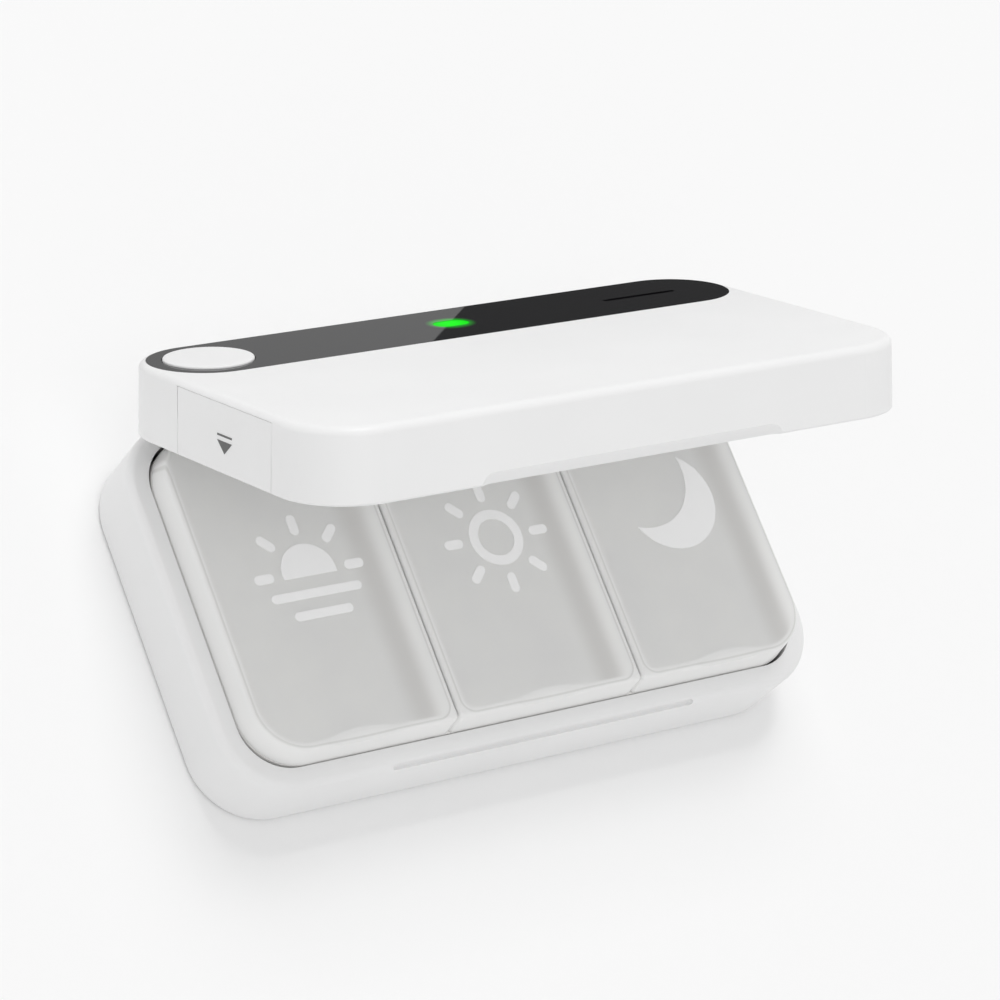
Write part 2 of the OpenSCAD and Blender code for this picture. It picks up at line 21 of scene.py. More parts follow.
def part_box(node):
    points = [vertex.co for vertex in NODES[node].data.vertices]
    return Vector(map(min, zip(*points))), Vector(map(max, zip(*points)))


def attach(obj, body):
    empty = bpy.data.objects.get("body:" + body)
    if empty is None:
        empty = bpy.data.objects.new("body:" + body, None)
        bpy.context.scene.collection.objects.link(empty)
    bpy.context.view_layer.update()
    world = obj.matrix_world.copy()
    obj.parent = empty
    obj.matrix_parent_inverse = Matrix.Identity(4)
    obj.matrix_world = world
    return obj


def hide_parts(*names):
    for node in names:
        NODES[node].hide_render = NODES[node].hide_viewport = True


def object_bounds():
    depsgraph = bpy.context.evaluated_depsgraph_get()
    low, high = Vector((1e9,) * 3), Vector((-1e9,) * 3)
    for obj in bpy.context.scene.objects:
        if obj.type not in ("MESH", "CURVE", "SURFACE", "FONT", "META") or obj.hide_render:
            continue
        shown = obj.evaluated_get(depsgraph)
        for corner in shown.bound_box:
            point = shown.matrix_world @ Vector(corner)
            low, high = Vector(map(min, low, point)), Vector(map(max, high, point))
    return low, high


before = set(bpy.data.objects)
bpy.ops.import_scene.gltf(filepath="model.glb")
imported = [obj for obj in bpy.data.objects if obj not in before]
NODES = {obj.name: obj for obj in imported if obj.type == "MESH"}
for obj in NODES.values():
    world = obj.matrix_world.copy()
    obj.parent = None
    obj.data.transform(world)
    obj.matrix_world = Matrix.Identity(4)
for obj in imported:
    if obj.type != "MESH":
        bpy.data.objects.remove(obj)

CAD_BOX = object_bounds()
MM = 0.001
log = logging.getLogger("pill_box")

NEAR_MM = 0.01  # places closer than this are the same
MERGE_MM = 0.002  # points closer than this are merged
OVER_MM = 1.0  # how far a cutter reaches past what it cuts
ROD_SIDES = 48
SMOOTH_BELOW_DEG = 32  # sharpest edge that is still shaded smooth
NOISE_LOW, NOISE_HIGH = 0.3, 0.7  # most of the noise lies between these

Point = tuple[float, float, float]
Pair = tuple[float, float]
Tree = bpy.types.NodeTree
Socket = bpy.types.NodeSocket
Piece = bpy.types.Object
T = TypeVar("T")


class Side(Enum):
    """Which compartment of the box, counted from the left."""

    MORNING = 0
    NOON = 1
    NIGHT = 2


class Rounding(Enum):
    """Into how many faces a rounded edge is divided."""

    CORNER = 20
    CELL = 8
    FLOOR = 6
    FILLET = 5
    EDGE = 2


class Combining(Enum):
    """What one piece does to another."""

    CUT = "DIFFERENCE"
    JOIN = "UNION"


# ---------------------------------------------------------------- nodes and colours


def srgb(code: str) -> tuple[float, float, float, float]:
    """Turns an sRGB hex colour into linear light.

    Args:
        code: six hex digits after a hash sign.

    Returns:
        Red, green, blue and an alpha of 1.
    """
    parts = [int(code[i : i + 2], 16) / 255 for i in (1, 3, 5)]
    linear = [p / 12.92 if p <= 0.04045 else ((p + 0.055) / 1.055) ** 2.4 for p in parts]
    return (*linear, 1.0)


def add_node(
    tree: Tree, kind: str, inputs: dict | None = None, **settings: object
) -> bpy.types.Node:
    """Adds one node with its settings, values and links.

    Args:
        tree: the node tree.
        kind: the node's type name.
        inputs: for each input socket, by name or index, a value or the socket that feeds it.
        settings: attributes of the node itself.

    Returns:
        The new node.
    """
    node = tree.nodes.new(kind)
    for key, value in settings.items():
        setattr(node, key, value)
    for key, value in (inputs or {}).items():
        if isinstance(value, Socket):
            tree.links.new(value, node.inputs[key])
        else:
            node.inputs[key].default_value = value
    return node


def mottle(
    tree: Tree, point: Socket, size_mm: float, low: float, high: float, detail: float = 2.0
) -> tuple[Socket, Socket]:
    """Makes random blotches about size_mm across.

    Args:
        tree: the node tree.
        point: the coordinates.
        size_mm: width of one blotch in millimetres.
        low: the spread value where the noise is low.
        high: the spread value where the noise is high.
        detail: number of finer layers.

    Returns:
        The noise itself, and the noise spread from low to high.
    """
    noise = add_node(
        tree, "ShaderNodeTexNoise",
        {"Vector": point, "Scale": 1 / (size_mm * MM), "Detail": detail},
    ).outputs["Fac"]
    spread = add_node(
        tree, "ShaderNodeMapRange",
        {"Value": noise, "From Min": NOISE_LOW, "From Max": NOISE_HIGH, "To Min": low,
         "To Max": high},
    )
    return noise, spread.outputs["Result"]


def mask(
    tree: Tree, steps: Sequence[tuple[Socket, float, float]], within: Socket | None = None
) -> Socket:
    """Makes a mask from smooth steps.

    Args:
        tree: the node tree.
        steps: for each step a value in metres, and where in millimetres it leaves 0 and
            where it reaches 1.
        within: another mask, in which the result lies.

    Returns:
        The product of the steps, from 0 to 1.
    """
    product = within
    for value, start, end in steps:
        step = add_node(
            tree, "ShaderNodeMapRange",
            {"Value": value, "From Min": start * MM, "From Max": end * MM},
            interpolation_type="SMOOTHSTEP",
        ).outputs["Result"]
        if product is None:
            product = step
        else:
            product = add_node(
                tree, "ShaderNodeMath", {0: product, 1: step}, operation="MULTIPLY"
            ).outputs[0]
    return product


# ---------------------------------------------------------------- finishes


@dataclass(frozen=True)
class Finish(ABC):
    """A named material, whose surface each kind of finish adds."""

    name: str

    @abstractmethod
    def surface(self, tree: Tree, point: Socket) -> Socket:
        """Adds the shader.

        Args:
            tree: the material's empty node tree.
            point: the Object coordinates, in metres.

        Returns:
            The shader's output.
        """

    def build(self) -> bpy.types.Material:
        """Builds the material.

        Returns:
            The material.
        """
        material = bpy.data.materials.new(self.name)
        material.use_nodes = True
        tree = material.node_tree
        tree.nodes.clear()
        point = add_node(tree, "ShaderNodeTexCoord").outputs["Object"]
        add_node(tree, "ShaderNodeOutputMaterial", {"Surface": self.surface(tree, point)})
        return material


@dataclass(frozen=True)
class Moulded(Finish):
    """Injection-moulded plastic: an even colour, a fine grain and a slightly uneven sheen.

    The grain of a real spark-eroded tool is about 0.05 mm wide. It is drawn grain_mm wide, as
    coarse as it needs to be to show at arm's length.
    """

    colour: str
    shade: str
    roughness: float = 0.42
    ior: float = 1.5
    grain_mm: float = 0.35
    grain_depth_mm: float = 0.004
    grain_strength: float = 0.6
    smoother: float = 0.04
    rougher: float = 0.05
    cloud_mm: float = 18.0

    def surface(self, tree: Tree, point: Socket) -> Socket:
        """Adds the shader.

        Args:
            tree: the material's node tree.
            point: the Object coordinates.

        Returns:
            The shader's output.
        """
        _, clouds = mottle(tree, point, self.cloud_mm, 0, 1)
        grain, sheen = mottle(
            tree, point, self.grain_mm, self.roughness - self.smoother,
            self.roughness + self.rougher, detail=3,
        )
        colour = add_node(
            tree, "ShaderNodeMix",
            {"Factor": clouds, "A": srgb(self.shade), "B": srgb(self.colour)}, data_type="RGBA",
        )
        bump = add_node(
            tree, "ShaderNodeBump",
            {"Height": grain, "Strength": self.grain_strength,
             "Distance": self.grain_depth_mm * MM},
        )
        return add_node(
            tree, "ShaderNodeBsdfPrincipled",
            {
                "Base Color": colour.outputs["Result"], "Roughness": sheen, "IOR": self.ior,
                "Normal": bump.outputs["Normal"],
            },
        ).outputs["BSDF"]


@dataclass(frozen=True)
class FrostedCap(Finish):
    """Frosted polypropylene cap: milky in its skirt and its thumb scoop, clearer in its thin top.

    The skirt at the right-hand end shows through the top as a soft band, where the top is made
    milkier; beside that band a painted shade stands for the shaded wall of the compartment
    beneath. A thin painted shade also runs about 1 mm in from the edge, over the skirt's inner
    face. Lengths are in millimetres. Each pair of them says where a mask
    leaves 0 and where it reaches 1: in from the edge, out from the scoop, in from the right-hand
    end or down from the top.
    """

    left: float
    right: float
    front: float
    top: float
    corners: Pair
    scoop: Point
    milk: str = "#f4f4f3"
    tint: str = "#f8f8f6"
    # painted shade: the colour of the band that stands for the compartment's shaded wall beneath
    # the top
    painted_wall_shade: str = "#e9e8e6"
    # painted shade: the colour of the thin line about 1 mm in from the edge, over the skirt's
    # inner face
    edge_shade_colour: str = "#e4e4e2"
    clear: float = 0.18
    clear_below: float = 0.4
    clear_rim: float = 0.04
    roughness: float = 0.28
    ior: float = 1.2
    cloud: float = 12.0
    thin_in: Pair = (1.4, 1.9)
    scoop_out: Pair = (0.1, 0.6)
    # where the thin painted shade inside the edge starts and ends
    edge_shade_start: Pair = (0.8, 1.0)
    edge_shade_end: Pair = (1.3, 1.1)
    band_in: Pair = (2.2, 5.4)
    # where the painted wall shade fades in, in from the right-hand end
    shade_in: Pair = (10.0, 6.0)
    skin_down: Pair = (0.7, 0.4)

    def from_edge(self, tree: Tree, flat: Socket, end: float, towards: int) -> Socket:
        """Distance in from one end, the front and the rounded corner between them.

        Args:
            tree: the node tree.
            flat: the point seen from above.
            end: the end in millimetres.
            towards: 1 if the cap lies to the right of this end, -1 if to the left.

        Returns:
            The distance in metres, at most the corner's radius.
        """
        radius = self.corners[0 if towards > 0 else 1]
        centre = ((end + towards * radius) * MM, (self.front + radius) * MM, 0)
        to_centre = add_node(
            tree, "ShaderNodeVectorMath", {0: centre, 1: flat}, operation="SUBTRACT"
        )
        turned = add_node(
            tree, "ShaderNodeVectorMath", {0: to_centre.outputs["Vector"], 1: (towards, 1, 0)},
            operation="MULTIPLY",
        )
        beyond = add_node(
            tree, "ShaderNodeVectorMath", {0: turned.outputs["Vector"], 1: (0, 0, 0)},
            operation="MAXIMUM",
        )
        away = add_node(
            tree, "ShaderNodeVectorMath", {0: beyond.outputs["Vector"]}, operation="LENGTH"
        )
        return add_node(
            tree, "ShaderNodeMath", {0: radius * MM, 1: away.outputs["Value"]},
            operation="SUBTRACT",
        ).outputs[0]

    def surface(self, tree: Tree, point: Socket) -> Socket:
        """Adds the shader.

        Args:
            tree: the material's node tree.
            point: the Object coordinates.

        Returns:
            The shader's output.
        """
        place = add_node(tree, "ShaderNodeSeparateXYZ", {"Vector": point}).outputs
        flat = add_node(
            tree, "ShaderNodeVectorMath", {0: point, 1: (1, 1, 0)}, operation="MULTIPLY"
        ).outputs["Vector"]
        scoop_x, scoop_y, scoop_radius = self.scoop
        from_scoop = add_node(
            tree, "ShaderNodeVectorMath", {0: flat, 1: (scoop_x * MM, scoop_y * MM, 0)},
            operation="DISTANCE",
        ).outputs["Value"]
        edge = add_node(
            tree, "ShaderNodeMath",
            {0: self.from_edge(tree, flat, self.left, 1),
             1: self.from_edge(tree, flat, self.right, -1)},
            operation="MINIMUM",
        ).outputs[0]

        start, end = (scoop_radius + out for out in self.scoop_out)
        thin = mask(tree, [(edge, *self.thin_in), (from_scoop, start, end)])
        # painted shade: a thin darker line about 1 mm in from the edge, where the skirt meets the
        # top
        edge_shade = mask(tree, [(edge, *self.edge_shade_start), (edge, *self.edge_shade_end)])
        start, end = (self.right - into for into in self.band_in)
        inner = mask(tree, [(place["X"], start, end)], within=thin)
        # painted shade: a darker band in from the right-hand end, for the compartment's shaded
        # wall seen through the top
        start, end = (self.right - into for into in self.shade_in)
        shade = mask(tree, [(place["X"], start, end)], within=inner)
        start, end = (self.top - down for down in self.skin_down)
        top_side = mask(tree, [(place["Z"], start, end)])

        clear = add_node(
            tree, "ShaderNodeMapRange",
            {"Value": top_side, "To Min": self.clear_below, "To Max": self.clear},
        )
        clear = add_node(
            tree, "ShaderNodeMapRange",
            {"Value": inner, "To Min": self.clear_rim, "To Max": clear.outputs["Result"]},
        )
        _, cloud = mottle(tree, point, self.cloud, 0, 1)
        top_colour = add_node(
            tree, "ShaderNodeMix",
            {"Factor": cloud, "A": srgb(self.tint), "B": srgb(self.milk)}, data_type="RGBA",
        ).outputs["Result"]
        colour = srgb(self.milk)
        # the thin top's random tone, then the painted shade inside the edge, then the painted wall
        # shade
        for where, over in (
            (thin, top_colour), (edge_shade, srgb(self.edge_shade_colour)), (shade, srgb(self.painted_wall_shade))
        ):
            colour = add_node(
                tree, "ShaderNodeMix", {"Factor": where, "A": colour, "B": over},
                data_type="RGBA",
            ).outputs["Result"]
        return add_node(
            tree, "ShaderNodeBsdfPrincipled",
            {
                "Base Color": colour, "Roughness": self.roughness, "IOR": self.ior,
                "Transmission Weight": clear.outputs["Result"],
            },
        ).outputs["BSDF"]


@dataclass(frozen=True)
class Brushed(Finish):
    """Drawn or turned metal: fine scratches along one axis.

    Real scratches are a few hundredths of a millimetre wide and are drawn coarser, to show.
    """

    colour: str
    roughness: float = 0.3
    stretch: Point = (0.02, 1.0, 1.0)
    scratch_mm: float = 0.12
    scratch_depth_mm: float = 0.004
    scratch_strength: float = 0.4
    smoother: float = 0.08
    rougher: float = 0.12

    def surface(self, tree: Tree, point: Socket) -> Socket:
        """Adds the shader.

        Args:
            tree: the material's node tree.
            point: the Object coordinates.

        Returns:
            The shader's output.
        """
        along = add_node(tree, "ShaderNodeMapping", {"Vector": point, "Scale": self.stretch})
        scratches, sheen = mottle(
            tree, along.outputs["Vector"], self.scratch_mm, self.roughness - self.smoother,
            self.roughness + self.rougher, detail=4,
        )
        bump = add_node(
            tree, "ShaderNodeBump",
            {"Height": scratches, "Strength": self.scratch_strength,
             "Distance": self.scratch_depth_mm * MM},
        )
        return add_node(
            tree, "ShaderNodeBsdfPrincipled",
            {
                "Base Color": srgb(self.colour), "Metallic": 1.0, "Roughness": sheen,
                "Normal": bump.outputs["Normal"],
            },
        ).outputs["BSDF"]


@dataclass(frozen=True)
class GlossStrip(Finish):
    """Black acrylic window, polished, with the green light spreading round its lens.

    The lens is a round-ended slot along X. lens_at is in metres, all lengths are in millimetres.
    """

    lens_at: Point
    lens_half: float
    lens_radius: float
    colour: str = "#171719"
    halo: str = "#10a01c"
    halo_width: float = 2.2
    swirl: float = 2.5
    sheen: Pair = (0.02, 0.035)
    ior: float = 1.49

    def surface(self, tree: Tree, point: Socket) -> Socket:
        """Adds the shader.

        Args:
            tree: the material's node tree.
            point: the Object coordinates.

        Returns:
            The shader's output.
        """
        x, y, z = self.lens_at
        along = add_node(
            tree, "ShaderNodeClamp",
            {"Value": add_node(tree, "ShaderNodeSeparateXYZ", {"Vector": point}).outputs["X"],
             "Min": x - self.lens_half * MM, "Max": x + self.lens_half * MM},
        )
        nearest = add_node(
            tree, "ShaderNodeCombineXYZ", {"X": along.outputs["Result"], "Y": y, "Z": z}
        )
        away = add_node(
            tree, "ShaderNodeVectorMath", {0: point, 1: nearest.outputs["Vector"]},
            operation="DISTANCE",
        ).outputs["Value"]
        glow = mask(tree, [(away, self.lens_radius + self.halo_width, self.lens_radius)])
        lit = add_node(
            tree, "ShaderNodeMix",
            {"Factor": glow, "A": (0, 0, 0, 1), "B": srgb(self.halo)}, data_type="RGBA",
        )
        _, sheen = mottle(tree, point, self.swirl, *self.sheen)
        return add_node(
            tree, "ShaderNodeBsdfPrincipled",
            {
                "Base Color": srgb(self.colour), "Roughness": sheen, "IOR": self.ior,
                "Emission Color": lit.outputs["Result"], "Emission Strength": 1.0,
            },
        ).outputs["BSDF"]


@dataclass(frozen=True)
class LitLens(Finish):
    """Clear light guide with the green light behind it: brightest in the middle."""

    centre: Point
    glass: str = "#033a06"
    colour: str = "#00e004"
    core: str = "#00ff06"
    core_mm: float = 0.6
    reach_mm: float = 3.2
    roughness: float = 0.2
    ior: float = 1.08
    light: float = 0.95

    def surface(self, tree: Tree, point: Socket) -> Socket:
        """Adds the shader.

        Args:
            tree: the material's node tree.
            point: the Object coordinates.

        Returns:
            The shader's output.
        """
        away = add_node(
            tree, "ShaderNodeVectorMath", {0: point, 1: self.centre}, operation="DISTANCE"
        )
        fade = add_node(
            tree, "ShaderNodeMapRange",
            {"Value": away.outputs["Value"], "From Min": self.core_mm * MM,
             "From Max": self.reach_mm * MM},
        )
        lit = add_node(
            tree, "ShaderNodeMix",
            {"Factor": fade.outputs["Result"], "A": srgb(self.core), "B": srgb(self.colour)},
            data_type="RGBA",
        )
        return add_node(
            tree, "ShaderNodeBsdfPrincipled",
            {
                "Base Color": srgb(self.glass), "Roughness": self.roughness, "IOR": self.ior,
                "Emission Color": lit.outputs["Result"], "Emission Strength": self.light,
            },
        ).outputs["BSDF"]


@dataclass(frozen=True)
class SolderMask(Finish):
    """Green circuit board: fine copper lines show through the mask.

    The lines lie one pin spacing apart. Their width and run are in parts of that.
    """

    colour: str = "#14602f"
    second: str = "#125a2b"
    line: str = "#2f8f4c"
    pitch_mm: float = 1.27
    line_width: float = 0.06
    run: float = 6.0
    roughness: float = 0.3
    ior: float = 1.55

    def surface(self, tree: Tree, point: Socket) -> Socket:
        """Adds the shader.

        Args:
            tree: the material's node tree.
            point: the Object coordinates.

        Returns:
            The shader's output.
        """
        lines = add_node(
            tree, "ShaderNodeTexBrick",
            {
                "Vector": point, "Color1": srgb(self.colour), "Color2": srgb(self.second),
                "Mortar": srgb(self.line), "Scale": 1 / (self.pitch_mm * MM),
                "Mortar Size": self.line_width, "Brick Width": self.run, "Row Height": 1.0,
            },
        )
        return add_node(
            tree, "ShaderNodeBsdfPrincipled",
            {"Base Color": lines.outputs["Color"], "Roughness": self.roughness, "IOR": self.ior},
        ).outputs["BSDF"]


@dataclass(frozen=True)
class PaleFloor(Finish):
    """White paper sweep: matt, and overexposed to one even tone away from the object."""

    colour: str
    haze: float = 0.55
    haze_mm: float = 14.0

    def surface(self, tree: Tree, point: Socket) -> Socket:
        """Adds the shader.

        Args:
            tree: the material's node tree.
            point: the Object coordinates.

        Returns:
            The shader's output.
        """
        paint = add_node(tree, "ShaderNodeBsdfDiffuse", {"Color": srgb(self.colour)})
        even = add_node(
            tree, "ShaderNodeEmission", {"Color": srgb(self.colour), "Strength": 1.0}
        )
        half_x, half_y, _ = ((high - low) / 2 for low, high in zip(*CAD_BOX))
        mirrored = add_node(tree, "ShaderNodeVectorMath", {0: point}, operation="ABSOLUTE")
        outside = add_node(
            tree, "ShaderNodeVectorMath", {0: mirrored.outputs["Vector"], 1: (half_x, half_y, 0)},
            operation="SUBTRACT",
        )
        clear_of = add_node(
            tree, "ShaderNodeVectorMath", {0: outside.outputs["Vector"], 1: (0, 0, 0)},
            operation="MAXIMUM",
        )
        away = add_node(
            tree, "ShaderNodeVectorMath", {0: clear_of.outputs["Vector"]}, operation="LENGTH"
        )
        haze = add_node(
            tree, "ShaderNodeMapRange",
            {"Value": away.outputs["Value"], "From Max": self.haze_mm * MM, "To Max": self.haze},
            interpolation_type="SMOOTHSTEP",
        )
        camera_ray = add_node(tree, "ShaderNodeLightPath").outputs["Is Camera Ray"]
        seen = add_node(
            tree, "ShaderNodeMath", {0: camera_ray, 1: haze.outputs["Result"]},
            operation="MULTIPLY",
        )
        return add_node(
            tree, "ShaderNodeMixShader",
            {0: seen.outputs[0], 1: paint.outputs[0], 2: even.outputs[0]},
        ).outputs[0]


@dataclass(frozen=True)
class EvenCard(Finish):
    """Photographer's card, so evenly lit that it shows one colour from everywhere."""

    colour: str

    def surface(self, tree: Tree, point: Socket) -> Socket:
        """Adds the shader.

        Args:
            tree: the material's node tree.
            point: the Object coordinates, which an even colour doesn't need.

        Returns:
            The shader's output.
        """
        return add_node(
            tree, "ShaderNodeEmission", {"Color": srgb(self.colour), "Strength": 1.0}
        ).outputs[0]


# ---------------------------------------------------------------- modelling


def only(piece: Piece) -> None:
    """Makes piece the one selected and active object.

    Args:
        piece: the object.
    """
    bpy.ops.object.select_all(action="DESELECT")
    piece.select_set(True)
    bpy.context.view_layer.objects.active = piece


@contextmanager
def editing(piece: Piece) -> Iterator[bmesh.types.BMesh]:
    """Opens piece in edit mode with nothing selected.

    Args:
        piece: the mesh object to edit.

    Yields:
        Its edit mesh.
    """
    only(piece)
    bpy.ops.object.mode_set(mode="EDIT")
    bpy.ops.mesh.select_all(action="DESELECT")
    bpy.ops.mesh.select_mode(type="EDGE")
    yield bmesh.from_edit_mesh(piece.data)
    bpy.ops.object.mode_set(mode="OBJECT")


def block(name: str, low: Sequence[float], high: Sequence[float]) -> Piece:
    """Adds a plain block between two corners, its place in its mesh.

    Args:
        name: the object's name.
        low: lowest corner in millimetres.
        high: highest corner in millimetres.

    Returns:
        The block.
    """
    bpy.ops.object.select_all(action="DESELECT")
    centre = [(a + b) / 2 * MM for a, b in zip(low, high)]
    bpy.ops.mesh.primitive_cube_add(size=1, location=centre)
    made = bpy.context.object
    made.name = name
    made.scale = [(b - a) * MM for a, b in zip(low, high)]
    bpy.ops.object.transform_apply(location=True, rotation=True, scale=True)
    return made


def rod(name: str, start: float, end: float, y: float, z: float, radius: float) -> Piece:
    """Adds a round bar along X.

    Args:
        name: the object's name.
        start: left end in millimetres.
        end: right end in millimetres.
        y: place of its axis in millimetres.
        z: place of its axis in millimetres.
        radius: its radius in millimetres.

    Returns:
        The bar.
    """
    bpy.ops.object.select_all(action="DESELECT")
    bpy.ops.mesh.primitive_cylinder_add(
        vertices=ROD_SIDES, radius=radius * MM, depth=(end - start) * MM,
        location=((start + end) / 2 * MM, y * MM, z * MM), rotation=(0, math.pi / 2, 0),
    )
    made = bpy.context.object
    made.name = name
    bpy.ops.object.transform_apply(location=True, rotation=True, scale=True)
    return made


def near(a: float, b: float) -> bool:
    """Whether two places in millimetres are the same."""
    return abs(a - b) < NEAR_MM


def upright(a: Vector, b: Vector) -> bool:
    """Whether the edge from a to b stands upright."""
    return near(a.x, b.x) and near(a.y, b.y)


def round_edges(
    piece: Piece, test: Callable[[Vector, Vector], bool], radius: float, faces: Rounding
) -> None:
    """Rounds the edges for which test is true.

    Args:
        piece: the mesh object.
        test: takes an edge's two ends in millimetres.
        radius: the rounding in millimetres.
        faces: how finely the rounding is divided.
    """
    with editing(piece) as mesh:
        for edge in mesh.edges:
            a, b = (v.co / MM for v in edge.verts)
            edge.select = test(a, b)
        bmesh.update_edit_mesh(piece.data)
        bpy.ops.mesh.bevel(
            offset=radius * MM, offset_type="OFFSET", segments=faces.value, profile=0.5,
            affect="EDGES", clamp_overlap=False,
        )


def lean_in(piece: Piece, top: float, by: tuple[float, float, float, float]) -> None:
    """Draws the upper outline in, so that the walls lean.

    Args:
        piece: the mesh object.
        top: height of the upper outline in millimetres.
        by: how far the left, right, front and rear walls lean in, in millimetres.
    """
    with editing(piece) as mesh:
        upper = [v for v in mesh.verts if near(v.co.z / MM, top)]
        for v in upper:
            v.select = True
        mesh.select_flush(True)
        bmesh.update_edit_mesh(piece.data)
        spans, centre = [], []
        for axis, (first, second) in enumerate((by[:2], by[2:])):
            low = min(v.co[axis] for v in upper)
            high = max(v.co[axis] for v in upper)
            spans.append(1 - (first + second) * MM / (high - low))
            centre.append(low + (high - low) * first / (first + second))
        bpy.ops.mesh.select_mode(type="VERT")
        bpy.ops.transform.resize(value=(*spans, 1), center_override=(*centre, top * MM))


def cut_plane(piece: Piece, at: Point, normal: Point) -> None:
    """Cuts away what lies on the far side of a plane, and closes the cut.

    Args:
        piece: the mesh object.
        at: a point of the plane in millimetres.
        normal: towards what goes.
    """
    with editing(piece):
        bpy.ops.mesh.select_all(action="SELECT")
        bpy.ops.mesh.bisect(
            plane_co=[c * MM for c in at], plane_no=normal, use_fill=True, clear_outer=True
        )


def combine(piece: Piece, tool: Piece, how: Combining = Combining.CUT) -> None:
    """Cuts tool from piece, or joins it to piece, and removes tool.

    Args:
        piece: the mesh object that stays.
        tool: the mesh object that goes.
        how: whether it is cut or joined.
    """
    only(piece)
    modifier = piece.modifiers.new("combine", "BOOLEAN")
    modifier.object, modifier.operation, modifier.solver = tool, how.value, "EXACT"
    bpy.ops.object.modifier_apply(modifier=modifier.name)
    bpy.data.objects.remove(tool)


def polish(piece: Piece) -> None:
    """Merges stray points and shades roundings smooth beside flat faces.

    Args:
        piece: the mesh object.
    """
    with editing(piece):
        bpy.ops.mesh.select_all(action="SELECT")
        bpy.ops.mesh.remove_doubles(threshold=MERGE_MM * MM)
        bpy.ops.mesh.normals_make_consistent(inside=False)
    only(piece)
    bpy.ops.object.shade_smooth_by_angle(angle=math.radians(SMOOTH_BELOW_DEG))
    modifier = piece.modifiers.new("even_shading", "WEIGHTED_NORMAL")
    modifier.keep_sharp = True
    bpy.ops.object.modifier_apply(modifier=modifier.name)


def dress(names: Sequence[str], finish: Finish) -> None:
    """Gives CAD nodes their finish.

    Args:
        names: the nodes.
        finish: what they all get.
    """
    material = finish.build()
    for name in names:
        for holder in NODES[name].material_slots:
            holder.material = material
        log.info("dressed %s in %s", name, material.name)


# ---------------------------------------------------------------- the object's sub-assemblies


@dataclass
class Compartments:
    """What the flaps and the tray share: three compartments, and the rod behind them.

    Lengths are in millimetres.
    """

    pitch: float = 35.533
    rod_y: float = 26.9
    rod_z: float = 15.45
    lug_offset: float = 7.0

    def middle(self, side: Side) -> float:
        """Where the middle of a compartment lies along X."""
        return (side.value - 1) * self.pitch

    def lugs(self, side: Side) -> Pair:
        """Where the middles of a compartment's two lugs lie along X."""
        return self.middle(side) - self.lug_offset, self.middle(side) + self.lug_offset

    def by_end(self, side: Side, outer: T, seam: T) -> tuple[T, T]:
        """Chooses a value for each end of a compartment.

        Args:
            side: which compartment.
            outer: the value at an end of the box.
            seam: the value beside another compartment.

        Returns:
            The values for the left and the right end.
        """
        left = outer if side is Side.MORNING else seam
        right = outer if side is Side.NIGHT else seam
        return left, right


